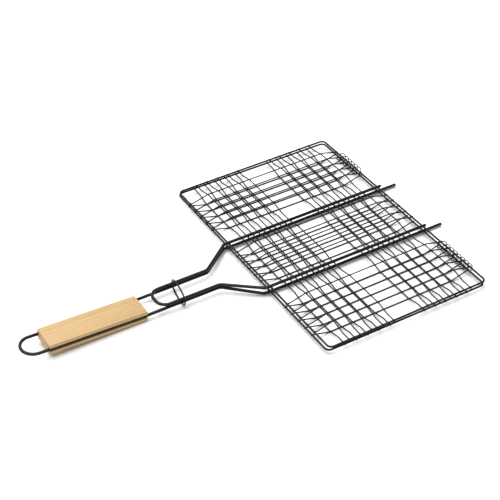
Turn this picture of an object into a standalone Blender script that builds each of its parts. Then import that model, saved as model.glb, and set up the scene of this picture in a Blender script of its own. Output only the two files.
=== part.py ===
"""Grill basket: two hinged wire grids with three food wells, a long wire handle, a wooden grip and a slide ring.

Metres, +Z up, standing on Z = 0. +X runs from the hanging loop towards the hinge side and +Y runs across the
handle. The origin is under the middle of the whole object.
"""

import math

import bmesh
import bpy
from mathutils import Matrix, Vector

# Wires
RAIL_WIRE = 0.0024  # the frame round each grid
MESH_WIRE = 0.0015  # the thin wires of the mesh
ROD_WIRE = 0.0038  # the two handle wires
RING_WIRE = 0.0020
COIL_WIRE = 0.0012
FIT_GAP = 0.00025  # between wires that lie on each other

# Grids, from rail centre to rail centre
GRID_LENGTH = 0.2155
GRID_WIDTH = 0.3325
CORNER_RADIUS = 0.006
RAIL_SPACING = 0.0028  # height between the two closed frames
WELL_DEPTH = 0.0056  # from a rail's centre out to the lengthwise wires' flats
LID_SHIFT = 0.0020  # play in the hinge: how far the lid sits towards the hinge side,
LID_SIDE_SHIFT = 0.0010  # towards +Y,
LID_TWIST = math.radians(0.35)  # and turned about Z

# Mesh
WIRES_PER_WELL = 5
OUTER_PITCH = 0.01375  # lengthwise wires of the two outer wells
MIDDLE_PITCH = 0.0132
LOWER_MIDDLE_SHIFT = -0.0030  # the middle well sits a little off the centre, the other way in the lid
LID_MIDDLE_SHIFT = 0.0010
OUTER_WELL_SHIFT = 0.0026  # the outer wells sit this much nearer to the rail than to the rod
WIRES_PER_GROUP = 5
CROSS_PITCH = 0.015
CROSS_EDGE = 0.02425  # from an end rail to the first cross wire
LOWER_CROSS_OFFSET = -0.0016
LID_CROSS_OFFSET = 0.0015
ROD_STRADDLE = 0.003  # half of a cross wire's level length at a rod
FLAT_MARGIN = 0.0035  # flat length past the outermost wire that crosses it

# Handle
ROD_SPREAD = 0.094  # between the two rods across the basket
ROD_TIP = 0.02925  # lower rods past the hinge rail
LID_ROD_SPREAD = 0.0928
LID_ROD_SHIFT = -0.0018  # of the lid's two rods along Y
LID_ROD_TIP = 0.00225
BEND_OUT = 0.00565  # from the near rail to the bend where the rods turn inwards
STRUT_LENGTH = 0.040  # along X
HANDLE_SPREAD = 0.0296  # between the rods along the grip
HANDLE_HEIGHT = 0.0072  # lower rods' centre above the ground, between strut and grip
NECK_LENGTH = 0.0938  # from the strut's end to the grip
BEND_RADIUS = 0.010
LID_END_GAP = 0.0175  # between the grip and the closed end of the lid's handle
LID_END_RADIUS = 0.0105
GRIP_LENGTH = 0.1185
GRIP_WIDTH = 0.0332
GRIP_THICKNESS = 0.0126
GRIP_TILT = math.radians(2.5)
GRIP_EDGE = 0.0012
LOOP_LENGTH = 0.0262  # from the grip to the far side of the hanging loop

# Ring and hinge coils
RING_PLACE = 0.0457  # from the strut's end
RING_SIDE_GAP = 0.0029  # between the ring's end and a rod's outer side
RING_TOP_GAP = 0.00056  # between the ring and the top of a rod, when the ring hangs level and centred
RING_FULLNESS = 0.75  # 1 is an ellipse, less is boxier
RING_LEAN = math.radians(8.0)  # its top towards the basket
RING_YAW = math.radians(8.0)  # its far end towards the basket
RING_DROP = 0.0004
COIL_RADIUS = 0.0056  # to the centre of the coil's wire
COIL_TURNS_PER_PITCH = 2
LEFT_COIL_TURNS = 6
RIGHT_COIL_TURNS = 8
COIL_PHASE = math.radians(275.5)  # where the coil passes each lengthwise wire: below, on the hinge side

# Fineness
ROD_SIDES = 2  # bevel_resolution: 8 sides
MESH_SIDES = 1  # 6 sides
ARC_STEPS = 4
COIL_STEPS = 10  # points to a turn

BLACK = (0.012, 0.012, 0.013, 1.0)
WOOD = (0.72, 0.50, 0.26, 1.0)

# Worked out from the above. "Out" is the distance from a rail's centre, away from the food.
MESH_INSET = RAIL_WIRE / 2 + FIT_GAP  # mesh wires end against the rails' inner sides
ROD_SEAT = (RAIL_WIRE + ROD_WIRE) / 2 + FIT_GAP
ROD_PASS = ROD_SEAT - (ROD_WIRE + MESH_WIRE) / 2 - FIT_GAP
CROSS_FLAT = WELL_DEPTH - MESH_WIRE - FIT_GAP
LOWER_RAIL_Z = WELL_DEPTH + MESH_WIRE / 2
LID_RAIL_Z = LOWER_RAIL_Z + RAIL_SPACING
LID_HANDLE_HEIGHT = HANDLE_HEIGHT + ROD_WIRE + FIT_GAP

RING_REACH = (HANDLE_SPREAD + ROD_WIRE + RING_WIRE) / 2 + RING_SIDE_GAP  # its half length, middle of wire
RING_OVER_ROD = ROD_WIRE + (FIT_GAP + RING_WIRE) / 2 + RING_TOP_GAP  # its wire's height where it crosses a rod
RING_RISE = RING_OVER_ROD / math.sin(math.acos(HANDLE_SPREAD / 2 / RING_REACH)) ** RING_FULLNESS  # half height

HALF_LENGTH = GRID_LENGTH / 2
HALF_WIDTH = GRID_WIDTH / 2
BEND_X = -HALF_LENGTH - BEND_OUT
STRUT_END_X = BEND_X - STRUT_LENGTH
GRIP_INNER_X = STRUT_END_X - NECK_LENGTH
LOOP_REACH = (GRIP_LENGTH + LOOP_LENGTH) * math.cos(GRIP_TILT) + ROD_WIRE / 2
LOOP_END_X = GRIP_INNER_X - LOOP_REACH
TIP_X = HALF_LENGTH + ROD_TIP
GRID_CENTRE_X = -(LOOP_END_X + TIP_X) / 2
HINGE_X = GRID_CENTRE_X + HALF_LENGTH + LID_SHIFT


def make_material(name, colour, roughness):
    """A Principled material for one sub-part."""
    material = bpy.data.materials.new(name)
    material.use_nodes = True
    shader = material.node_tree.nodes["Principled BSDF"]
    shader.inputs["Base Color"].default_value = colour
    shader.inputs["Roughness"].default_value = roughness
    shader.inputs["Metallic"].default_value = 0.0
    return material


def new_collection(name):
    collection = bpy.data.collections.new(name)
    bpy.context.scene.collection.children.link(collection)
    return collection


def new_empty(name, collection, place, parent=None, turn=0.0):
    """An empty that a sub-assembly hangs on; `turn` is about Z."""
    empty = bpy.data.objects.new(name, None)
    empty.empty_display_size = 0.02
    empty.location = place
    empty.rotation_euler = (0.0, 0.0, turn)
    empty.parent = parent
    collection.objects.link(empty)
    return empty


def rounded(corners, radius, closed=False):
    """The corners' path with each corner turned into an arc of `radius`, as a list of points."""
    corners = [Vector(corner) for corner in corners]
    count = len(corners)
    path = []
    for i, corner in enumerate(corners):
        if not closed and i in (0, count - 1):
            path.append(corner)
            continue
        before = (corners[i - 1] - corner).normalized()
        after = (corners[(i + 1) % count] - corner).normalized()
        half_angle = before.angle(after) / 2
        reach = radius / math.tan(half_angle)
        middle = corner + (before + after).normalized() * (radius / math.sin(half_angle))
        start = corner + before * reach - middle
        end = corner + after * reach - middle
        sweep = start.angle(end)
        steps = max(1, math.ceil(ARC_STEPS * sweep / (math.pi / 2)))
        for step in range(steps + 1):
            share = step / steps
            away = math.sin((1 - share) * sweep) * start + math.sin(share * sweep) * end
            path.append(middle + away / math.sin(sweep))
    return path


def wire(name, path, diameter, collection, parent, sides, closed=False):
    """A round wire along `path`, given in the parent's own axes."""
    curve = bpy.data.curves.new(name, "CURVE")
    curve.dimensions = "3D"
    curve.bevel_depth = diameter / 2
    curve.bevel_resolution = sides
    curve.use_fill_caps = not closed
    spline = curve.splines.new("POLY")
    spline.points.add(len(path) - 1)
    for point, place in zip(spline.points, path):
        point.co = (*place, 1.0)
    spline.use_cyclic_u = closed
    spline.use_smooth = True
    curve.materials.append(make_material(name + "_coating", BLACK, 0.35))
    piece = bpy.data.objects.new(name, curve)
    piece.parent = parent
    collection.objects.link(piece)
    return piece


def centred(count, pitch):
    """Places of `count` items at an even pitch, centred on 0."""
    return [(i - (count - 1) / 2) * pitch for i in range(count)]


def lengthwise_rows(side):
    """Y of each lengthwise wire, one list for each well, from +Y to -Y; `side` is -1 below and +1 in the lid."""
    shift = LOWER_MIDDLE_SHIFT if side < 0 else LID_MIDDLE_SHIFT
    rod = ROD_SPREAD / 2
    outer = (rod + HALF_WIDTH) / 2 + OUTER_WELL_SHIFT
    wells = ((outer, OUTER_PITCH), (shift, MIDDLE_PITCH), (-outer, OUTER_PITCH))
    return [[middle - y for y in centred(WIRES_PER_WELL, pitch)] for middle, pitch in wells]


def cross_columns():
    """X of each cross wire from the grid's centre, in its two groups."""
    middle = HALF_LENGTH - CROSS_EDGE - (WIRES_PER_GROUP - 1) / 2 * CROSS_PITCH
    places = centred(WIRES_PER_GROUP, CROSS_PITCH)
    return [-middle + x for x in places] + [middle + x for x in places]


def lengthwise_path(y, side, first_cross, last_cross):
    """From the inner side of one end rail to the other's, sloping out to the flat of the well."""
    end = HALF_LENGTH - MESH_INSET
    return [
        (-end, y, 0.0),
        (first_cross - FLAT_MARGIN / 2, y, side * WELL_DEPTH),
        (last_cross + FLAT_MARGIN / 2, y, side * WELL_DEPTH),
        (end, y, 0.0),
    ]


def cross_path(x, side):
    """From side rail to side rail, out to the flat of each well and back in between them, inside the rods."""
    path = [(x, HALF_WIDTH - MESH_INSET, 0.0)]
    rod = ROD_SPREAD / 2
    for row, passing in zip(lengthwise_rows(side), (rod, -rod, None)):
        path.append((x, row[0] + FLAT_MARGIN, side * CROSS_FLAT))
        path.append((x, row[-1] - FLAT_MARGIN, side * CROSS_FLAT))
        if passing is not None:
            path.append((x, passing + ROD_STRADDLE, side * ROD_PASS))
            path.append((x, passing - ROD_STRADDLE, side * ROD_PASS))
    path.append((x, -HALF_WIDTH + MESH_INSET, 0.0))
    return path


def build_grid(prefix, side, cross_offset, collection, parent):
    """One frame with its mesh, in axes whose origin is the grid's centre at rail height.

    `side` is -1 for the lower grid and +1 for the lid: the way that the wells bulge.
    """
    corners = [
        (HALF_LENGTH, HALF_WIDTH, 0.0),
        (-HALF_LENGTH, HALF_WIDTH, 0.0),
        (-HALF_LENGTH, -HALF_WIDTH, 0.0),
        (HALF_LENGTH, -HALF_WIDTH, 0.0),
    ]
    frame = rounded(corners, CORNER_RADIUS, closed=True)
    wire(prefix + "_frame", frame, RAIL_WIRE, collection, parent, ROD_SIDES, closed=True)
    columns = [x + cross_offset for x in cross_columns()]
    for number, x in enumerate(columns, 1):
        name = f"{prefix}_cross_wire_{number:02d}"
        wire(name, cross_path(x, side), MESH_WIRE, collection, parent, MESH_SIDES)
    rows = [y for row in lengthwise_rows(side) for y in row]
    for number, y in enumerate(rows, 1):
        name = f"{prefix}_lengthwise_wire_{number:02d}"
        path = lengthwise_path(y, side, columns[0], columns[-1])
        wire(name, path, MESH_WIRE, collection, parent, MESH_SIDES)


def along_grip(distance, y, height):
    """A point `distance` from the grip's inner end along its tilted axis, and `height` off that axis."""
    axis = Vector((-math.cos(GRIP_TILT), 0.0, math.sin(GRIP_TILT)))
    across = Vector((math.sin(GRIP_TILT), 0.0, math.cos(GRIP_TILT)))
    start = Vector((GRID_CENTRE_X + GRIP_INNER_X, y, HANDLE_HEIGHT))
    return start + axis * distance + across * height


def build_lower_handle(collection, parent):
    """One wire: both lower rods, the struts, the neck, the grip's sides and the hanging loop."""
    rod = ROD_SPREAD / 2
    neck = HANDLE_SPREAD / 2
    rod_z = LOWER_RAIL_Z - ROD_SEAT
    near = [
        Vector((GRID_CENTRE_X + TIP_X, rod, rod_z)),
        Vector((GRID_CENTRE_X + BEND_X, rod, rod_z)),
        Vector((GRID_CENTRE_X + STRUT_END_X, neck, HANDLE_HEIGHT)),
    ]
    side = rounded(near + [Vector((GRID_CENTRE_X + GRIP_INNER_X, neck, HANDLE_HEIGHT))], BEND_RADIUS)
    loop = []
    loop_start = GRIP_LENGTH + LOOP_LENGTH - neck
    for step in range(2 * ARC_STEPS + 1):
        angle = math.pi * step / (2 * ARC_STEPS)
        loop.append(along_grip(loop_start + neck * math.sin(angle), neck * math.cos(angle), 0.0))
    other_side = [Vector((point.x, -point.y, point.z)) for point in reversed(side)]
    wire("lower_handle_wire", side + loop + other_side, ROD_WIRE, collection, parent, ROD_SIDES)


def build_lid_handle(collection, parent):
    """The lid's wire, in axes whose origin is on the hinge: rods above the mesh, closed before it meets the grip."""
    neck = HANDLE_SPREAD / 2
    tip_x = HALF_LENGTH + LID_SHIFT + LID_ROD_TIP
    end_x = GRIP_INNER_X + LID_END_GAP
    start_x = end_x + 2 * LID_END_RADIUS
    rod_z = LID_RAIL_Z + ROD_SEAT
    origin = Vector((HALF_LENGTH + LID_SHIFT, 0.0, LID_RAIL_Z))
    sides = []
    for way in (1, -1):
        rod = way * LID_ROD_SPREAD / 2 + LID_ROD_SHIFT
        corners = [
            Vector((tip_x, rod, rod_z)),
            Vector((BEND_X, rod, rod_z)),
            Vector((STRUT_END_X, way * neck, LID_HANDLE_HEIGHT)),
            Vector((start_x, way * neck, LID_HANDLE_HEIGHT)),
        ]
        sides.append(rounded([corner - origin for corner in corners], BEND_RADIUS))
    end = [
        Vector((start_x, neck, LID_HANDLE_HEIGHT)),
        Vector((end_x, neck, LID_HANDLE_HEIGHT)),
        Vector((end_x, -neck, LID_HANDLE_HEIGHT)),
        Vector((start_x, -neck, LID_HANDLE_HEIGHT)),
    ]
    closing = rounded([corner - origin for corner in end], LID_END_RADIUS)
    path = sides[0][:-1] + closing + sides[1][-2::-1]
    wire("lid_handle_wire", path, ROD_WIRE, collection, parent, ROD_SIDES)


def box_object(name, size, place, collection):
    """A box as a new object; `place` is a matrix."""
    mesh = bpy.data.meshes.new(name)
    shape = bmesh.new()
    bmesh.ops.create_cube(shape, size=1.0, matrix=Matrix.Diagonal((*size, 1.0)))
    shape.to_mesh(mesh)
    shape.free()
    box = bpy.data.objects.new(name, mesh)
    box.matrix_world = place
    collection.objects.link(box)
    return box


def build_grip(collection, cutters, parent):
    """The wooden slab between the handle's sides, with a groove for the wire along each edge."""
    place = Matrix.Translation(along_grip(GRIP_LENGTH / 2, 0.0, 0.0)) @ Matrix.Rotation(GRIP_TILT, 4, "Y")
    grip = box_object("wooden_grip", (GRIP_LENGTH, GRIP_WIDTH, GRIP_THICKNESS), place, collection)
    grip.parent = parent
    edges = grip.modifiers.new("eased_edges", "BEVEL")
    edges.width = GRIP_EDGE
    edges.segments = 2
    edges.limit_method = "ANGLE"
    groove_floor = (HANDLE_SPREAD - ROD_WIRE) / 2 - FIT_GAP
    groove_height = ROD_WIRE + 2 * FIT_GAP
    groove_depth = GRIP_WIDTH / 2
    for name, way in (("groove_cutter_left", 1), ("groove_cutter_right", -1)):
        middle = way * (groove_floor + groove_depth / 2)
        size = (GRIP_LENGTH * 1.2, groove_depth, groove_height)
        cutter = box_object(name, size, place @ Matrix.Translation((0.0, middle, 0.0)), cutters)
        cutter.hide_render = True
        cutter.display_type = "WIRE"
        cut = grip.modifiers.new(name, "BOOLEAN")
        cut.operation = "DIFFERENCE"
        cut.solver = "EXACT"
        cut.object = cutter
    grip.data.materials.append(make_material("wooden_grip_wood", WOOD, 0.5))


def build_ring(collection):
    """A long oval ring, hanging a little askew round all four rods of the neck, on an empty at its middle."""
    middle_z = (HANDLE_HEIGHT + LID_HANDLE_HEIGHT) / 2 - RING_DROP
    place = (GRID_CENTRE_X + STRUT_END_X - RING_PLACE, 0.0, middle_z)
    slide = new_empty("ring_slide", collection, place)
    path = []
    steps = 6 * ARC_STEPS
    for step in range(steps):
        angle = 2 * math.pi * step / steps
        along = RING_REACH * math.cos(angle)
        up = RING_RISE * abs(math.sin(angle)) ** RING_FULLNESS * (1 if step < steps / 2 else -1)
        x = up * math.sin(RING_LEAN) + along * math.sin(RING_YAW)
        path.append((x, along * math.cos(RING_YAW), up * math.cos(RING_LEAN)))
    wire("slide_ring", path, RING_WIRE, collection, slide, ROD_SIDES, closed=True)


def build_coils(collection, parent):
    """A loose wire coil round both hinge rails at each outer well, passing between the lengthwise wires."""
    middle_x = GRID_CENTRE_X + HALF_LENGTH + LID_SHIFT / 2
    middle_z = (LOWER_RAIL_Z + LID_RAIL_Z) / 2
    pitch = OUTER_PITCH / COIL_TURNS_PER_PITCH
    rows = lengthwise_rows(-1)
    coils = (("hinge_coil_left", rows[0], LEFT_COIL_TURNS), ("hinge_coil_right", rows[2], RIGHT_COIL_TURNS))
    for name, row, turns in coils:
        middle_y = sum(row) / len(row)
        path = []
        for step in range(turns * COIL_STEPS + 1):
            turn = step / COIL_STEPS - turns / 2
            angle = COIL_PHASE + 2 * math.pi * turn
            x = middle_x + COIL_RADIUS * math.cos(angle)
            z = middle_z + COIL_RADIUS * math.sin(angle)
            path.append((x, middle_y + turn * pitch, z))
        wire(name, path, COIL_WIRE, collection, parent, MESH_SIDES)


def main():
    for existing in list(bpy.data.objects):
        bpy.data.objects.remove(existing, do_unlink=True)
    parts = new_collection("grill_basket")
    cutters = new_collection("grill_basket_cutters")

    base = new_empty("base", parts, (0.0, 0.0, 0.0))
    lower_mesh = new_empty("lower_mesh", parts, (GRID_CENTRE_X, 0.0, LOWER_RAIL_Z), base)
    build_grid("lower", -1, LOWER_CROSS_OFFSET, parts, lower_mesh)
    build_lower_handle(parts, base)
    build_grip(parts, cutters, base)
    build_coils(parts, base)

    lid = new_empty("lid_hinge", parts, (HINGE_X, 0.0, LID_RAIL_Z))
    lid_mesh = new_empty("lid_mesh", parts, (-HALF_LENGTH, LID_SIDE_SHIFT, 0.0), lid, LID_TWIST)
    build_grid("lid", 1, LID_CROSS_OFFSET, parts, lid_mesh)
    build_lid_handle(parts, lid)

    build_ring(parts)


main()
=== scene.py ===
"""The looks of a hinged wire grill basket: coated wires, their welds, a grooved hardwood grip and a studio.

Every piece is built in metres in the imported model's own axes. +X runs from the hanging loop to the hinge
side, +Y across the basket, and +Z up from the ground that the basket lies on.
"""

import logging
import math
from collections.abc import Callable, Iterable, Sequence
from dataclasses import dataclass, field
from enum import Enum

import bmesh
import bpy
import numpy as np
from mathutils import Matrix, Vector


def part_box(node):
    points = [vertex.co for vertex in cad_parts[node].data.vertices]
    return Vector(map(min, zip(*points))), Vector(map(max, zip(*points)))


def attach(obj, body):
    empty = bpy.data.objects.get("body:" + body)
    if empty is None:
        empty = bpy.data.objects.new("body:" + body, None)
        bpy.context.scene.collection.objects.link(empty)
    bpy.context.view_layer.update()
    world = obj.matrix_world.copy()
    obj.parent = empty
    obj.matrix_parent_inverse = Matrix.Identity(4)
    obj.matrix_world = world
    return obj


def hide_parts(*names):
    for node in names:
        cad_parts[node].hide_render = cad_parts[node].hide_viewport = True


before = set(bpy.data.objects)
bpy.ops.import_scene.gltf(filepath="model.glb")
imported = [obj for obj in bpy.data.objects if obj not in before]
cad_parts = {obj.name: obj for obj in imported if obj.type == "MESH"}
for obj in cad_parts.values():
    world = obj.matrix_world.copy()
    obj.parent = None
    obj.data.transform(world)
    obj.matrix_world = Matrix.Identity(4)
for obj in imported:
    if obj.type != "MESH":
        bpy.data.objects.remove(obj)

LOG = logging.getLogger("grill_basket")
STRAIGHT = 1e-4  # a corner that turns less than this, in radians, is left out
CORNER_SHARE = 0.49  # the most of a side that a corner's arc may use
END_EASE = 0.16  # a cut wire's rounded edge, as a share of its thickness
RING_BODY = "ring"


class Side(Enum):
    """The two halves of the basket: the way that their wells bulge, and the names that they go by."""

    LOWER = ("lower", "base", -1)
    LID = ("lid", "lid", 1)

    def __init__(self, prefix: str, body: str, way: int) -> None:
        """Keeps what tells one half from the other.

        Args:
            prefix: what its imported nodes' names start with.
            body: the body that it moves with.
            way: the way that its wells bulge along Z.
        """
        self.prefix = prefix
        self.body = body
        self.way = way


# ---------------------------------------------------------------- shader building


class Signal:
    """A node's output, on which arithmetic adds Math nodes."""

    def __init__(self, recipe: "Recipe", socket: bpy.types.NodeSocket) -> None:
        """Wraps one output socket of a recipe's tree."""
        self.recipe = recipe
        self.socket = socket

    def maths(self, operation: str, *values: "Signal | float", swap: bool = False) -> "Signal":
        """Adds one Math node.

        Args:
            operation: the Math node's operation.
            values: what goes in after this signal.
            swap: put this signal last, for the reflected operators.

        Returns:
            The node's result.
        """
        order = [*values, self] if swap else [self, *values]
        node = self.recipe.add("ShaderNodeMath", {"operation": operation}, dict(enumerate(order)))
        return Signal(self.recipe, node.outputs[0])

    def __add__(self, other: "Signal | float") -> "Signal":
        """This plus another."""
        return self.maths("ADD", other)

    def __sub__(self, other: "Signal | float") -> "Signal":
        """This minus another."""
        return self.maths("SUBTRACT", other)

    def __rsub__(self, other: float) -> "Signal":
        """A number minus this."""
        return self.maths("SUBTRACT", other, swap=True)

    def __mul__(self, other: "Signal | float") -> "Signal":
        """This times another."""
        return self.maths("MULTIPLY", other)

    def __truediv__(self, other: "Signal | float") -> "Signal":
        """This divided by another."""
        return self.maths("DIVIDE", other)

    def __rtruediv__(self, other: float) -> "Signal":
        """A number divided by this."""
        return self.maths("DIVIDE", other, swap=True)

    __radd__ = __add__
    __rmul__ = __mul__

    def step(self, low: float, high: float) -> "Signal":
        """A smooth step.

        Args:
            low: where it is 0.
            high: where it is 1; below `low` it falls instead.

        Returns:
            The stepped signal, from 0 to 1.
        """
        settings = {"interpolation_type": "SMOOTHSTEP"}
        inputs = {"Value": self, "From Min": low, "From Max": high}
        return Signal(self.recipe, self.recipe.add("ShaderNodeMapRange", settings, inputs).outputs[0])


class Recipe:
    """A node material under construction."""

    def __init__(self, name: str) -> None:
        """Makes the material and finds its Principled shader.

        Args:
            name: the material's name.
        """
        self.material = bpy.data.materials.new(name)
        self.material.use_nodes = True
        self.tree = self.material.node_tree
        self.shader = self.tree.nodes["Principled BSDF"]

    def put(self, socket: bpy.types.NodeSocket, value: object) -> None:
        """Links a signal or a socket to an input, or sets a plain value on it.

        Args:
            socket: the input.
            value: what goes into it.
        """
        if isinstance(value, Signal):
            value = value.socket
        if isinstance(value, bpy.types.NodeSocket):
            self.tree.links.new(value, socket)
        else:
            socket.default_value = value

    def add(self, kind: str, settings: dict[str, object], inputs: dict[str | int, object]) -> bpy.types.Node:
        """Adds one node.

        Args:
            kind: the node's type.
            settings: its properties, set before its sockets.
            inputs: values or links by the sockets' names or numbers.

        Returns:
            The node.
        """
        node = self.tree.nodes.new(kind)
        for name, value in settings.items():
            setattr(node, name, value)
        for key, value in inputs.items():
            self.put(node.inputs[key], value)
        return node

    def place(self, centre: Vector = Vector(), tilt: float = 0.0) -> bpy.types.NodeSocket:
        """Object coordinates moved to a piece's own middle and turned to its own axes.

        Args:
            centre: the piece's middle.
            tilt: its turn about Y.

        Returns:
            The vector's socket.
        """
        coordinates = self.add("ShaderNodeTexCoord", {}, {}).outputs["Object"]
        inputs = {"Vector": coordinates, "Location": centre, "Rotation": (0.0, tilt, 0.0)}
        return self.add("ShaderNodeMapping", {"vector_type": "TEXTURE"}, inputs).outputs[0]

    def stretched(self, vector: bpy.types.NodeSocket, by: Sequence[float]) -> bpy.types.NodeSocket:
        """The vector with each of its three parts multiplied."""
        node = self.add("ShaderNodeVectorMath", {"operation": "MULTIPLY"}, {0: vector, 1: by})
        return node.outputs[0]

    def noise(
        self, vector: bpy.types.NodeSocket, scale: float, detail: float = 2.0, rough: float = 0.5
    ) -> Signal:
        """Smooth noise from 0 to 1.

        Args:
            vector: where it is read.
            scale: cells to a unit of the vector.
            detail: octaves.
            rough: how strong the finer octaves are.

        Returns:
            The noise.
        """
        inputs = {"Vector": vector, "Scale": scale, "Detail": detail, "Roughness": rough}
        return Signal(self, self.add("ShaderNodeTexNoise", {}, inputs).outputs[0])

    def mix(self, share: Signal, first: object, second: object) -> bpy.types.NodeSocket:
        """A blend of two colours.

        Args:
            share: how much of the second is in it, from 0 to 1.
            first: a colour, or a socket that gives one.
            second: the other.

        Returns:
            The blend's socket.
        """
        node = self.add("ShaderNodeMix", {"data_type": "RGBA"}, {"Factor": share})
        colours = [socket for socket in node.inputs if socket.type == "RGBA"]
        self.put(colours[0], first)
        self.put(colours[1], second)
        return next(socket for socket in node.outputs if socket.type == "RGBA")

    def bump(self, height: Signal, depth: float, strength: float) -> None:
        """Feeds the shader's normal from a height of 0 to 1 that stands for `depth` metres."""
        inputs = {"Height": height, "Distance": depth, "Strength": strength}
        self.put(self.shader.inputs["Normal"], self.add("ShaderNodeBump", {}, inputs).outputs[0])

    def finish(self, **inputs: object) -> bpy.types.Material:
        """Sets the shader's inputs and ends the recipe.

        Args:
            inputs: values or links by the inputs' names, with _ for a blank.

        Returns:
            The material.
        """
        for name, value in inputs.items():
            self.put(self.shader.inputs[name.replace("_", " ")], value)
        return self.material


@dataclass(frozen=True)
class Coating:
    """Baked-on black coating over steel wire: satin, slightly uneven, with a few greyer clouds and specks."""

    name: str
    black: tuple[float, float, float, float] = (0.0035, 0.0033, 0.0033, 1.0)
    grey: tuple[float, float, float, float] = (0.013, 0.0118, 0.0112, 1.0)
    smooth: float = 0.26
    matte: float = 0.44
    sheen: float = 0.26
    cloud_scale: float = 55.0
    cloud_edges: tuple[float, float] = (0.35, 0.7)
    cloud_tone: float = 0.6
    speck_scale: float = 900.0
    speck_edges: tuple[float, float] = (0.73, 0.8)
    speck_tone: float = 0.3
    peel_scale: float = 1500.0
    peel_depth: float = 0.00005
    peel_strength: float = 0.5
    peel_matte: float = 0.06

    def material(self) -> bpy.types.Material:
        """Mixes the coating: clouds of tone, an orange-peel surface and a few pale specks of dust.

        Returns:
            The material.
        """
        recipe = Recipe(self.name)
        place = recipe.place()
        clouds = recipe.noise(place, self.cloud_scale, detail=3.0).step(*self.cloud_edges)
        peel = recipe.noise(place, self.peel_scale)
        specks = recipe.noise(place, self.speck_scale, detail=0.0).step(*self.speck_edges)
        tone = recipe.mix(clouds * self.cloud_tone + specks * self.speck_tone, self.black, self.grey)
        recipe.bump(peel, self.peel_depth, self.peel_strength)
        roughness = self.smooth + clouds * (self.matte - self.smooth) + peel * self.peel_matte
        return recipe.finish(Base_Color=tone, Roughness=roughness, Specular_IOR_Level=self.sheen)


@dataclass(frozen=True)
class Hardwood:
    """Pale, straight-grained hardwood, sanded and dry."""

    name: str
    centre: Vector
    tilt: float
    pale: tuple[float, float, float, float] = (0.50, 0.335, 0.155, 1.0)
    golden: tuple[float, float, float, float] = (0.41, 0.252, 0.095, 1.0)
    pore_brown: tuple[float, float, float, float] = (0.24, 0.128, 0.045, 1.0)
    pith: tuple[float, float, float] = (0.0, 0.035, 0.060)
    ring_width: float = 0.0031
    ring_waver: float = 0.0035
    late_start: float = 0.35
    late_end: float = 0.92
    waver_scale: float = 38.0
    fibre_scale: float = 1700.0
    pore_scale: float = 3400.0
    pore_edges: tuple[float, float] = (0.66, 0.78)
    drift_scale: float = 60.0
    late_tone: float = 0.45
    fibre_tone: float = 0.7
    drift_tone: float = 1.1
    base_tone: float = 0.1
    relief: float = 0.00008
    relief_strength: float = 0.45

    def material(self) -> bpy.types.Material:
        """Mixes the wood: growth rings round a far pith, fine fibres along the grip and short open pores.

        Returns:
            The material.
        """
        recipe = Recipe(self.name)
        own = recipe.place(self.centre, self.tilt)
        waver = recipe.noise(recipe.stretched(own, (0.25, 1.0, 1.0)), self.waver_scale)
        shifted = recipe.add("ShaderNodeVectorMath", {"operation": "SUBTRACT"}, {0: own, 1: self.pith})
        flat = recipe.stretched(shifted.outputs[0], (0.02, 1.0, 1.0))
        length = recipe.add("ShaderNodeVectorMath", {"operation": "LENGTH"}, {0: flat})
        radius = Signal(recipe, length.outputs["Value"])
        ring = ((radius + waver * self.ring_waver) / self.ring_width).maths("FRACT")
        late = ring.step(self.late_start, self.late_end) * (1.0 - ring.step(self.late_end, 1.0))
        fibre = recipe.noise(recipe.stretched(own, (0.028, 1.0, 1.0)), self.fibre_scale, 4.0, 0.65)
        pores = recipe.noise(recipe.stretched(own, (0.06, 1.0, 1.0)), self.pore_scale, 0.0)
        pores = pores.step(*self.pore_edges)
        drift = recipe.noise(recipe.stretched(own, (0.35, 1.0, 1.0)), self.drift_scale, 1.0)
        share = late * self.late_tone + (fibre - 0.5) * self.fibre_tone
        share = share + (drift - 0.5) * self.drift_tone + self.base_tone
        body = recipe.mix(share, self.pale, self.golden)
        colour = recipe.mix(pores * (0.25 + late * 0.4), body, self.pore_brown)
        height = fibre * 0.5 - pores * 0.7 - late * 0.2
        recipe.bump(height, self.relief, self.relief_strength)
        roughness = 0.5 + fibre * 0.16 + pores * 0.1
        return recipe.finish(Base_Color=colour, Roughness=roughness)


# ---------------------------------------------------------------- paths and meshes


def rounded(
    corners: Sequence[Vector], radius: float, closed: bool = False, degrees: float = 6.0
) -> list[Vector]:
    """A path with each corner turned into an arc.

    Args:
        corners: the path's corners.
        radius: the arcs' radius, made smaller where the sides are too short for it.
        closed: whether the last corner joins the first.
        degrees: the most that the path turns between two of its points.

    Returns:
        The path's points.
    """
    count = len(corners)
    path: list[Vector] = []
    for i, corner in enumerate(corners):
        if not closed and i in (0, count - 1):
            path.append(Vector(corner))
            continue
        back = corners[i - 1] - corner
        ahead = corners[(i + 1) % count] - corner
        half_angle = back.angle(ahead) / 2
        if math.pi / 2 - half_angle < STRAIGHT:
            continue
        room = min(back.length, ahead.length) * CORNER_SHARE
        reach = min(radius / math.tan(half_angle), room)
        bend = reach * math.tan(half_angle)
        back.normalize()
        ahead.normalize()
        middle = corner + (back + ahead).normalized() * (bend / math.sin(half_angle))
        start = corner + back * reach - middle
        end = corner + ahead * reach - middle
        sweep = start.angle(end)
        steps = max(2, math.ceil(math.degrees(sweep) / degrees))
        for step in range(steps + 1):
            share = step / steps
            away = math.sin((1 - share) * sweep) * start + math.sin(share * sweep) * end
            path.append(middle + away / math.sin(sweep))
    return path


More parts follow.
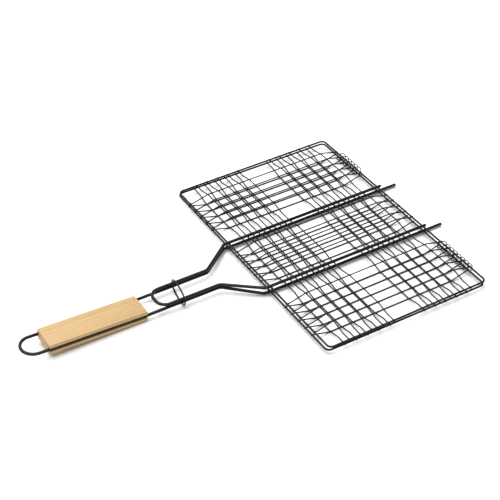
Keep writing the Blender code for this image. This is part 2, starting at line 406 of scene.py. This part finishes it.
def directions(path: Sequence[Vector], closed: bool) -> list[Vector]:
    """The way that a path runs at each of its points, halfway between its two sides there.

    Args:
        path: the points.
        closed: whether the last point joins the first.

    Returns:
        One direction for each point.
    """
    found = []
    for i in range(len(path)):
        before = path[i - 1] if closed or i else path[0]
        after = path[(i + 1) % len(path)] if closed or i < len(path) - 1 else path[i]
        into = (path[i] - before).normalized()
        out = (after - path[i]).normalized()
        found.append((into + out).normalized())
    return found


def sweep_wire(
    shape: bmesh.types.BMesh, path: Sequence[Vector], diameter: float, sides: int, closed: bool = False
) -> None:
    """Adds a round wire to a mesh by extruding a circle along a path; open ends are capped and eased.

    Args:
        shape: the mesh that the wire is added to.
        path: the wire's centreline.
        diameter: the wire's thickness.
        sides: how many sides its section has.
        closed: whether it is a ring.
    """
    runs = directions(path, closed)
    turn = Vector((0.0, 0.0, 1.0)).rotation_difference(runs[0])
    start = Matrix.Translation(path[0]) @ turn.to_matrix().to_4x4()
    made = bmesh.ops.create_circle(shape, cap_ends=False, radius=diameter / 2, segments=sides, matrix=start)
    first = list({edge for vert in made["verts"] for edge in vert.link_edges})
    ring = first
    for i in range(1, len(path)):
        grown = bmesh.ops.extrude_edge_only(shape, edges=ring)["geom"]
        verts = [item for item in grown if isinstance(item, bmesh.types.BMVert)]
        edges = [item for item in grown if isinstance(item, bmesh.types.BMEdge)]
        ring = [edge for edge in edges if all(vert in verts for vert in edge.verts)]
        step = runs[i - 1].rotation_difference(runs[i]).to_matrix().to_4x4()
        move = Matrix.Translation(path[i]) @ step @ Matrix.Translation(-path[i - 1])
        bmesh.ops.transform(shape, matrix=move, verts=verts)
    if closed:
        bmesh.ops.bridge_loops(shape, edges=first + ring)
        return
    for end in (first, ring):
        bmesh.ops.edgeloop_fill(shape, edges=end)
    bmesh.ops.bevel(
        shape,
        geom=first + ring,
        offset=diameter * END_EASE,
        segments=2,
        profile=0.5,
        affect="EDGES",
        material=-1,
    )


def add_weld(shape: bmesh.types.BMesh, place: Vector, size: Vector, turn: float = 0.0) -> None:
    """Adds a small nugget of weld to a mesh: an ellipsoid.

    Args:
        shape: the mesh that it is added to.
        place: its middle.
        size: its three half sizes.
        turn: its turn about Z.
    """
    stretch = Matrix.Diagonal((*size, 1.0))
    matrix = Matrix.Translation(place) @ Matrix.Rotation(turn, 4, "Z") @ stretch
    bmesh.ops.create_icosphere(shape, subdivisions=2, radius=1.0, matrix=matrix)


def make_piece(
    name: str,
    build: Callable[[bmesh.types.BMesh], None],
    material: bpy.types.Material,
    body: str,
    stands_for: Iterable[str] = (),
    sharp: float = 50.0,
) -> bpy.types.Object:
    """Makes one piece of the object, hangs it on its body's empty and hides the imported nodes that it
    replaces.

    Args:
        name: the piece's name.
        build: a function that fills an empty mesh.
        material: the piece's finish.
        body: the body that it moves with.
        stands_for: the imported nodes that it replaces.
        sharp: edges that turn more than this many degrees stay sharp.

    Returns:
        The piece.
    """
    shape = bmesh.new()
    build(shape)
    bmesh.ops.recalc_face_normals(shape, faces=shape.faces)
    mesh = bpy.data.meshes.new(name)
    shape.to_mesh(mesh)
    shape.free()
    mesh.shade_smooth()
    mesh.set_sharp_from_angle(angle=math.radians(sharp))
    mesh.materials.append(material)
    piece = bpy.data.objects.new(name, mesh)
    bpy.context.scene.collection.objects.link(piece)
    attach(piece, body)
    stands_for = list(stands_for)
    if stands_for:
        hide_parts(*stands_for)
    LOG.info("%s: %d faces on %s", name, len(mesh.polygons), body)
    return piece


def middle_of(node: str) -> Vector:
    """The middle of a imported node's box."""
    low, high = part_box(node)
    return (low + high) / 2


def numbered(prefix: str, kind: str) -> list[str]:
    """The names of one half's wires of one kind, in order."""
    return sorted(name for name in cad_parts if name.startswith(f"{prefix}_{kind}_wire_"))


# ---------------------------------------------------------------- the two wire grids


@dataclass
class Grid:
    """One half of the basket: a closed frame, its mesh with three wells, and every weld in it.

    The welds' sizes are shares of the thickness, or of half the thickness, of the wires that they join.
    """

    side: Side
    finish: bpy.types.Material
    rail_wire: float = 0.0024
    mesh_wire: float = 0.0016
    rod_wire: float = 0.0038
    corner_radius: float = 0.0058
    wire_end: float = 0.0019
    lengthwise_start: float = 0.0034
    flat_margin: float = 0.0010
    cross_ramp: float = 0.0155
    lengthwise_bend: float = 0.013
    cross_bend: float = 0.016
    rail_sides: int = 16
    mesh_sides: int = 12
    packed_mesh_wire: float = 0.0015
    butt_swell: float = 1.13
    butt_half_length: float = 0.0017
    butt_place: float = 0.18
    crossing_nugget: tuple[float, float, float] = (1.15, 1.15, 0.8)
    collar_length: float = 0.8
    collar_girth: float = 1.4
    collar_height: float = 0.66
    collar_inset: float = 0.4
    rod_nugget: tuple[float, float] = (1.5, 0.36)
    rod_seat: tuple[float, float, float] = (0.62, 0.42, 0.36)
    centre: Vector = field(init=False)
    half_length: float = field(init=False)
    half_width: float = field(init=False)
    turn: float = field(init=False)
    rows: list[float] = field(init=False)
    columns: list[float] = field(init=False)
    lengthwise_depth: float = field(init=False)
    cross_depth: float = field(init=False)

    def __post_init__(self) -> None:
        """Reads the grid's place, turn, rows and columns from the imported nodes."""
        self.centre = middle_of(f"{self.side.prefix}_frame")
        low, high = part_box(f"{Side.LOWER.prefix}_frame")
        self.half_length = (high.x - low.x - self.rail_wire) / 2
        self.half_width = (high.y - low.y - self.rail_wire) / 2
        lengthwise = numbered(self.side.prefix, "lengthwise")
        cross = numbered(self.side.prefix, "cross")
        self.turn = self.lean_of(lengthwise[0])
        self.rows = [self.own(middle_of(name)).y for name in lengthwise]
        self.columns = [self.own(middle_of(name)).x for name in cross]
        self.lengthwise_depth = self.depth_of(lengthwise[0])
        self.cross_depth = self.depth_of(cross[0])

    @staticmethod
    def lean_of(node: str) -> float:
        """The angle about Z at which a lengthwise wire lies."""
        places = np.array([vert.co[:2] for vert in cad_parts[node].data.vertices])
        return math.atan(np.polyfit(places[:, 0], places[:, 1], 1)[0])

    def depth_of(self, node: str) -> float:
        """How far out from the rails' height the flats of a packed wire lie.

        Args:
            node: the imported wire.

        Returns:
            The distance to the middle of the wire.
        """
        low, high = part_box(node)
        outermost = high.z if self.side.way > 0 else low.z
        return abs(outermost - self.centre.z) - self.packed_mesh_wire / 2

    def own(self, point: Vector) -> Vector:
        """A point in the grid's own axes, from its centre."""
        return Matrix.Rotation(-self.turn, 3, "Z") @ (point - self.centre)

    def world(self, x: float, y: float, out: float = 0.0) -> Vector:
        """A point from its place in the grid's own axes and its distance out from the rails' height."""
        return self.centre + Matrix.Rotation(self.turn, 3, "Z") @ Vector((x, y, self.side.way * out))

    @property
    def wells(self) -> list[list[float]]:
        """The lengthwise wires' places in their wells.

        Returns:
            One list for each of the three wells, from +Y to -Y.
        """
        count = len(self.rows) // 3
        rows = sorted(self.rows, reverse=True)
        return [rows[i * count : (i + 1) * count] for i in range(3)]

    def rods(self) -> list[float]:
        """The two rods' places across the grid.

        Returns:
            Both places, from +Y to -Y.
        """
        low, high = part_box(f"{self.side.prefix}_handle_wire")
        half = self.rod_wire / 2
        return [self.own(Vector((self.centre.x, y, 0.0))).y for y in (high.y - half, low.y + half)]

    def rod_out(self) -> float:
        """How far out from the rails' height the rods lie: they rest on the rails."""
        return (self.rail_wire + self.rod_wire) / 2

    def pass_out(self) -> float:
        """How far out the cross wires lie where they pass under a rod."""
        return self.rod_out() - (self.rod_wire + self.mesh_wire) / 2

    def frame_path(self) -> list[Vector]:
        """Works out the closed frame's centreline.

        Returns:
            Its points.
        """
        signs = [(1, 1), (-1, 1), (-1, -1), (1, -1)]
        corners = [self.world(x * self.half_length, y * self.half_width) for x, y in signs]
        return rounded(corners, self.corner_radius, closed=True)

    def lengthwise_path(self, y: float) -> list[Vector]:
        """A lengthwise wire's centreline: from the rail, out to the well's flat, and back at the other end.

        Args:
            y: the wire's place across the grid.

        Returns:
            Its points.
        """
        end = self.half_length + self.wire_end
        start = self.half_length - self.lengthwise_start
        first = min(self.columns) - self.flat_margin
        last = max(self.columns) + self.flat_margin
        outs = [(-end, 0.0), (-start, 0.0), (first, self.lengthwise_depth)]
        outs += [(last, self.lengthwise_depth), (start, 0.0), (end, 0.0)]
        return rounded([self.world(x, y, out) for x, out in outs], self.lengthwise_bend, degrees=3.0)

    def cross_path(self, x: float) -> list[Vector]:
        """A cross wire's centreline: out to the flat of each well, and back in under the rods between them.

        Args:
            x: the wire's place along the grid.

        Returns:
            Its points.
        """
        end = self.half_width + self.wire_end
        stops = [(end, 0.0)]
        for number, well in enumerate(self.wells):
            top, bottom = well[0] + self.flat_margin, well[-1] - self.flat_margin
            above = self.pass_out() if number else 0.0
            below = self.pass_out() if number < 2 else 0.0
            stops += [(top + self.cross_ramp, above), (top, self.cross_depth)]
            stops += [(bottom, self.cross_depth), (bottom - self.cross_ramp, below)]
        stops.append((-end, 0.0))
        return rounded([self.world(x, y, out) for y, out in stops], self.cross_bend, degrees=3.0)

    def build_frame(self, shape: bmesh.types.BMesh) -> None:
        """Fills the mesh of the closed frame, with the swelling of its butt weld on the side rail.

        Args:
            shape: the empty mesh.
        """
        sweep_wire(shape, self.frame_path(), self.rail_wire, self.rail_sides, closed=True)
        swell = self.rail_wire / 2 * self.butt_swell
        place = self.world(self.half_length * self.butt_place, -self.half_width)
        add_weld(shape, place, Vector((self.butt_half_length, swell, swell)))

    def build_lengthwise(self, shape: bmesh.types.BMesh) -> None:
        """Fills the mesh of all the lengthwise wires."""
        for y in self.rows:
            sweep_wire(shape, self.lengthwise_path(y), self.mesh_wire, self.mesh_sides)

    def build_cross(self, shape: bmesh.types.BMesh) -> None:
        """Fills the mesh of all the cross wires."""
        for x in self.columns:
            sweep_wire(shape, self.cross_path(x), self.mesh_wire, self.mesh_sides)

    def build_welds(self, shape: bmesh.types.BMesh) -> None:
        """Fills the mesh of the welds: wire on wire, wire into rail, and rods on rails and cross wires.

        Args:
            shape: the empty mesh.
        """
        half = self.mesh_wire / 2
        between = (self.lengthwise_depth + self.cross_depth) / 2
        for x in self.columns:
            for y in self.rows:
                add_weld(shape, self.world(x, y, between), Vector(self.crossing_nugget) * half, self.turn)
        girth = half * self.collar_girth
        length = self.rail_wire * self.collar_length
        height = self.rail_wire * self.collar_height
        inset = half * self.collar_inset
        for end in (-1, 1):
            for y in self.rows:
                place = self.world(end * (self.half_length - inset), y)
                add_weld(shape, place, Vector((length, girth, height)), self.turn)
            for x in self.columns:
                place = self.world(x, end * (self.half_width - inset))
                add_weld(shape, place, Vector((girth, length, height)), self.turn)
        self.add_rod_welds(shape)

    def add_rod_welds(self, shape: bmesh.types.BMesh) -> None:
        """Adds the welds between the two rods and what they lie on.

        Args:
            shape: the mesh of the welds.
        """
        half = self.mesh_wire / 2
        under = self.rod_out() - self.rod_wire / 2
        along, across = self.rod_nugget
        nugget = Vector((half * along, self.rod_wire * across, half))
        along, across, height = self.rod_seat
        seat = Vector((self.rail_wire * along, self.rod_wire * across, self.rail_wire * height))
        for rod in self.rods():
            for x in self.columns:
                add_weld(shape, self.world(x, rod, under), nugget, self.turn)
            for end in (-1, 1):
                add_weld(shape, self.world(end * self.half_length, rod, under), seat, self.turn)

    def build(self) -> None:
        """Makes the grid's pieces."""
        prefix, body = self.side.prefix, self.side.body
        make_piece(f"{prefix}_rail", self.build_frame, self.finish, body, [f"{prefix}_frame"])
        lengthwise = numbered(prefix, "lengthwise")
        make_piece(f"{prefix}_long_wires", self.build_lengthwise, self.finish, body, lengthwise)
        cross = numbered(prefix, "cross")
        make_piece(f"{prefix}_waved_wires", self.build_cross, self.finish, body, cross)
        make_piece(f"{prefix}_welds", self.build_welds, self.finish, body)


# ---------------------------------------------------------------- the handle


@dataclass
class Handle:
    """The two handle wires, the grip between the lower one's sides, and the ring that locks the lid."""

    finish: bpy.types.Material
    rod_wire: float = 0.0038
    rod_sides: int = 20
    rail_wire: float = 0.0024
    bend_out: float = 0.00565
    strut_length: float = 0.040
    spread: float = 0.0296
    neck_height: float = 0.0072
    neck_length: float = 0.0938
    bend_radius: float = 0.010
    lid_height: float = 0.01125
    lid_end_radius: float = 0.0125
    grip_length: float = 0.1185
    grip_width: float = 0.0332
    grip_thickness: float = 0.0126
    grip_tilt: float = math.radians(2.5)
    grip_edge: float = 0.0012
    groove_gap: float = 0.00025
    loop_length: float = 0.0262
    loop_steps: int = 32
    ring_wire: float = 0.0020
    ring_reach: float = 0.0206
    ring_rise: float = 0.0072
    ring_fullness: float = 0.75
    ring_lean: float = math.radians(8.0)
    ring_steps: int = 72
    ring_sides: int = 14
    ring_butt_swell: float = 1.16
    ring_butt_half_length: float = 0.0014
    groove_rounding: float = 0.46
    groove_segments: int = 6
    lip_ease: float = 0.0003
    end_ease: float = 0.0007
    near_rail: float = field(init=False)

    def __post_init__(self) -> None:
        """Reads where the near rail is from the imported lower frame."""
        self.near_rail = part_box("lower_frame")[0].x + self.rail_wire / 2

    @property
    def bend_x(self) -> float:
        """Where the rods start to run together."""
        return self.near_rail - self.bend_out

    @property
    def strut_end_x(self) -> float:
        """Where the rods run straight again."""
        return self.bend_x - self.strut_length

    @property
    def grip_x(self) -> float:
        """The grip's inner end."""
        return self.strut_end_x - self.neck_length

    @property
    def groove_mouth(self) -> float:
        """Half the height of the grooves that the wire is sprung into."""
        return self.rod_wire / 2 + self.groove_gap

    @property
    def groove_floor(self) -> float:
        """How far from the grip's middle the grooves' floors are."""
        return (self.spread - self.rod_wire) / 2 - self.groove_gap

    def along_grip(self, distance: float, y: float = 0.0, height: float = 0.0) -> Vector:
        """A point by its place on the grip's tilted axis.

        Args:
            distance: how far along the axis it is from the grip's inner end.
            y: its place across the grip.
            height: its height off the axis.

        Returns:
            The point.
        """
        axis = Vector((-math.cos(self.grip_tilt), 0.0, math.sin(self.grip_tilt)))
        across = Vector((math.sin(self.grip_tilt), 0.0, math.cos(self.grip_tilt)))
        return Vector((self.grip_x, y, self.neck_height)) + axis * distance + across * height

    def lower_path(self) -> list[Vector]:
        """The lower wire's centreline: from one rod's tip, round the hanging loop, to the other's.

        Returns:
            Its points.
        """
        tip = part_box("lower_handle_wire")[1]
        rod = tip.y - self.rod_wire / 2
        rod_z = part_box("lower_frame")[0].z - self.rod_wire / 2
        neck = self.spread / 2
        side = [
            Vector((tip.x, rod, rod_z)),
            Vector((self.bend_x, rod, rod_z)),
            Vector((self.strut_end_x, neck, self.neck_height)),
            Vector((self.grip_x, neck, self.neck_height)),
            self.along_grip(self.grip_length * 0.5, neck),
        ]
        side = rounded(side, self.bend_radius, degrees=4.0)
        loop = []
        centre = self.grip_length + self.loop_length - neck
        for step in range(self.loop_steps + 1):
            angle = math.pi * step / self.loop_steps
            loop.append(self.along_grip(centre + neck * math.sin(angle), neck * math.cos(angle)))
        other = [Vector((point.x, -point.y, point.z)) for point in reversed(side)]
        return side + loop + other

    def lid_path(self) -> list[Vector]:
        """The lid wire's centreline: from one rod's tip, round the closed end by the grip, to the other's.

        Returns:
            Its points.
        """
        low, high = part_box("lid_handle_wire")
        half = self.rod_wire / 2
        rod_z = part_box("lid_frame")[1].z + half
        neck = self.spread / 2
        end_x = low.x + half
        start_x = end_x + 2 * self.lid_end_radius
        sides = []
        for way, rod in ((1, high.y - half), (-1, low.y + half)):
            corners = [
                Vector((high.x, rod, rod_z)),
                Vector((self.bend_x, rod, rod_z)),
                Vector((self.strut_end_x, way * neck, self.lid_height)),
                Vector((start_x, way * neck, self.lid_height)),
            ]
            sides.append(rounded(corners, self.bend_radius, degrees=4.0))
        turns = [(start_x, neck), (end_x, neck), (end_x, -neck), (start_x, -neck)]
        closing = rounded([Vector((x, y, self.lid_height)) for x, y in turns], self.lid_end_radius)
        return sides[0][:-1] + closing + sides[1][-2::-1]

    def ring_path(self) -> list[Vector]:
        """The ring's centreline: a long oval round all four rods of the neck, leaning and turned a little.

        Returns:
            Its points.
        """
        centre = middle_of("slide_ring")
        upright = math.cos(self.ring_lean)
        path = []
        for step in range(self.ring_steps):
            angle = 2 * math.pi * step / self.ring_steps
            along = self.ring_reach * math.cos(angle)
            rise = self.ring_rise * abs(math.sin(angle)) ** self.ring_fullness
            up = math.copysign(rise, math.sin(angle))
            x = (up + along) * math.sin(self.ring_lean)
            path.append(centre + Vector((x, along * upright, up * upright)))
        return path

    def build_lower(self, shape: bmesh.types.BMesh) -> None:
        """Fills the mesh of the lower handle wire."""
        sweep_wire(shape, self.lower_path(), self.rod_wire, self.rod_sides)

    def build_lid(self, shape: bmesh.types.BMesh) -> None:
        """Fills the mesh of the lid's handle wire."""
        sweep_wire(shape, self.lid_path(), self.rod_wire, self.rod_sides)

    def build_ring(self, shape: bmesh.types.BMesh) -> None:
        """Fills the mesh of the ring, with the swelling of its butt weld underneath.

        Args:
            shape: the empty mesh.
        """
        path = self.ring_path()
        sweep_wire(shape, path, self.ring_wire, self.ring_sides, closed=True)
        swell = self.ring_wire / 2 * self.ring_butt_swell
        lowest = min(path, key=lambda point: point.z)
        add_weld(shape, lowest, Vector((swell, self.ring_butt_half_length, swell)))

    def grip_section(self) -> list[tuple[float, float]]:
        """The grip's outline across its length, with a groove in each side.

        Returns:
            Its corners, in order.
        """
        half_width, half_height = self.grip_width / 2, self.grip_thickness / 2
        mouth = self.groove_mouth
        quarter = [(half_width, half_height), (half_width, mouth), (self.groove_floor, mouth)]
        section = list(quarter)
        section += [(y, -z) for y, z in reversed(quarter)]
        section += [(-y, -z) for y, z in quarter]
        section += [(-y, z) for y, z in reversed(quarter)]
        return section

    def build_grip(self, shape: bmesh.types.BMesh) -> None:
        """Fills the mesh of the grip: its section is extruded along it, then its edges are rounded.

        Args:
            shape: the empty mesh.
        """
        half_width, half_height = self.grip_width / 2, self.grip_thickness / 2
        near = 1e-5
        verts = [shape.verts.new((-self.grip_length / 2, y, z)) for y, z in self.grip_section()]
        face = shape.faces.new(verts)
        grown = bmesh.ops.extrude_face_region(shape, geom=[face], use_keep_orig=True)["geom"]
        moved = [item for item in grown if isinstance(item, bmesh.types.BMVert)]
        bmesh.ops.translate(shape, verts=moved, vec=(self.grip_length, 0.0, 0.0))
        bmesh.ops.recalc_face_normals(shape, faces=shape.faces)

        def ease(test: Callable[[Vector, Vector], bool], width: float, segments: int) -> None:
            """Rounds some of the grip's edges.

            Args:
                test: whether an edge is one of them, from its middle and its direction.
                width: how far from the edge the rounding starts.
                segments: its steps.
            """
            found = []
            for edge in shape.edges:
                first, second = (vert.co for vert in edge.verts)
                if test((first + second) / 2, (second - first).normalized()):
                    found.append(edge)
            bmesh.ops.bevel(
                shape,
                geom=found,
                offset=width,
                segments=segments,
                profile=0.5,
                affect="EDGES",
                material=-1,
                clamp_overlap=True,
            )

        def is_inner(middle: Vector, way: Vector) -> bool:
            """Whether an edge runs along a groove's floor."""
            in_groove = abs(middle.y) < self.groove_floor + near and abs(middle.z) < self.groove_mouth + near
            return abs(way.x) > 0.9 and in_groove

        def is_lip(middle: Vector, way: Vector) -> bool:
            """Whether an edge runs along a groove's mouth."""
            at_mouth = abs(middle.y) > half_width - near and abs(middle.z) < self.groove_mouth + near
            return abs(way.x) > 0.9 and at_mouth

        def is_corner(middle: Vector, way: Vector) -> bool:
            """Whether an edge runs along one of the grip's four corners."""
            at_corner = abs(middle.y) > half_width - near and abs(middle.z) > half_height - near
            return abs(way.x) > 0.9 and at_corner

        def is_end(middle: Vector, way: Vector) -> bool:
            """Whether an edge goes round one of the grip's ends."""
            return abs(way.x) < 0.1 and abs(abs(middle.x) - self.grip_length / 2) < near / 10

        ease(is_inner, self.rod_wire * self.groove_rounding, self.groove_segments)
        ease(is_lip, self.lip_ease, 2)
        ease(is_corner, self.grip_edge, 4)
        ease(is_end, self.end_ease, 3)
        place = Matrix.Translation(self.along_grip(self.grip_length / 2))
        turn = Matrix.Rotation(self.grip_tilt, 4, "Y")
        bmesh.ops.transform(shape, matrix=place @ turn, verts=shape.verts)

    def build(self) -> None:
        """Makes the handle's pieces."""
        body, lid = Side.LOWER.body, Side.LID.body
        make_piece("lower_handle_rod", self.build_lower, self.finish, body, ["lower_handle_wire"])
        make_piece("lid_handle_rod", self.build_lid, self.finish, lid, ["lid_handle_wire"])
        make_piece("locking_ring", self.build_ring, self.finish, RING_BODY, ["slide_ring"])
        wood = Hardwood("sanded_hardwood", self.along_grip(self.grip_length / 2), self.grip_tilt).material()
        make_piece("grooved_grip", self.build_grip, wood, body, ["wooden_grip"], sharp=35.0)


# ---------------------------------------------------------------- the hinge


@dataclass
class HingeCoils:
    """The loose wire coils round both hinge rails, one at each outer well."""

    finish: bpy.types.Material
    wire: float = 0.0012
    pitch: float = 0.006875
    phase: float = math.radians(275.5)
    steps: int = 24
    sides: int = 10

    def path(self, node: str) -> list[Vector]:
        """A coil's helix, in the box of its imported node.

        Args:
            node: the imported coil.

        Returns:
            Its points.
        """
        low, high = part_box(node)
        centre = (low + high) / 2
        radius = (high.z - low.z - self.wire) / 2
        turns = round((high.y - low.y - self.wire) / self.pitch)
        path = []
        for step in range(turns * self.steps + 1):
            turn = step / self.steps - turns / 2
            angle = self.phase + 2 * math.pi * turn
            place = Vector((radius * math.cos(angle), turn * self.pitch, radius * math.sin(angle)))
            path.append(centre + place)
        return path

    def build(self) -> None:
        """Makes both coils."""
        for name in ("left", "right"):
            node = f"hinge_coil_{name}"
            path = self.path(node)
            make_piece(
                f"{name}_hinge_spiral",
                lambda shape: sweep_wire(shape, path, self.wire, self.sides),
                self.finish,
                Side.LOWER.body,
                [node],
            )


# ---------------------------------------------------------------- the studio


@dataclass(frozen=True)
class Studio:
    """A plain pale floor, soft light all round with a large soft key, and the camera."""

    white: tuple[float, float, float, float] = (0.93, 0.93, 0.93, 1.0)
    floor_size: float = 30.0
    sky: float = 0.42
    lens: float = 99.6
    turn: float = math.radians(-31.23)
    height: float = math.radians(38.76)
    distance: float = 1.6273
    aim: tuple[float, float, float] = (-0.08895, 0.0258, 0.0002)
    key_place: tuple[float, float, float] = (-0.3, 0.6, 2.4)
    key_size: float = 3.0
    key_power: float = 118.0

    def lay_floor(self) -> None:
        """Lays the floor under the object."""
        shape = bmesh.new()
        bmesh.ops.create_grid(shape, x_segments=1, y_segments=1, size=self.floor_size / 2)
        mesh = bpy.data.meshes.new("studio_floor")
        shape.to_mesh(mesh)
        shape.free()
        mesh.materials.append(Recipe("floor_paper").finish(Base_Color=self.white, Roughness=0.9))
        floor = bpy.data.objects.new("studio_floor", mesh)
        bpy.context.scene.collection.objects.link(floor)

    def light(self, name: str, place: Vector, size: float, power: float) -> None:
        """Hangs one square soft light that faces the object.

        Args:
            name: the light's name.
            place: where it hangs.
            size: its side.
            power: its power in watts.
        """
        lamp = bpy.data.lights.new(name, "AREA")
        lamp.shape = "SQUARE"
        lamp.size = size
        lamp.energy = power
        holder = bpy.data.objects.new(name, lamp)
        holder.location = place
        holder.rotation_euler = (-place).to_track_quat("-Z", "Y").to_euler()
        bpy.context.scene.collection.objects.link(holder)

    def place_camera(self) -> None:
        """Sets up the camera, aimed at a point given from the lower grid's centre."""
        ahead = Vector((-math.sin(self.turn), math.cos(self.turn), 0.0)) * math.cos(self.height)
        ahead.z = -math.sin(self.height)
        camera = bpy.data.cameras.new("camera")
        camera.lens = self.lens
        holder = bpy.data.objects.new("camera", camera)
        holder.location = middle_of("lower_frame") + Vector(self.aim) - ahead * self.distance
        holder.rotation_euler = ahead.to_track_quat("-Z", "Y").to_euler()
        bpy.context.scene.collection.objects.link(holder)
        bpy.context.scene.camera = holder

    def build(self) -> None:
        """Sets up the floor, the lights and the camera."""
        self.lay_floor()
        world = bpy.data.worlds.new("studio")
        world.use_nodes = True
        background = world.node_tree.nodes["Background"]
        background.inputs["Color"].default_value = (1.0, 1.0, 1.0, 1.0)
        background.inputs["Strength"].default_value = self.sky
        bpy.context.scene.world = world
        bpy.context.scene.view_settings.view_transform = "Standard"
        self.light("key", Vector(self.key_place), self.key_size, self.key_power)
        self.place_camera()


def main() -> None:
    """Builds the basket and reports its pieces."""
    logging.basicConfig(level=logging.INFO, format="%(name)s: %(message)s")
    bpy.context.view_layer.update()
    Studio().build()
    frame_coat = Coating("baked_coating_wires").material()
    handle_coat = Coating("baked_coating_rods", smooth=0.22, matte=0.38, cloud_scale=40.0).material()
    for side in Side:
        Grid(side, frame_coat).build()
    Handle(handle_coat).build()
    HingeCoils(Coating("baked_coating_coils", smooth=0.3).material()).build()


if __name__ == "__main__":
    main()
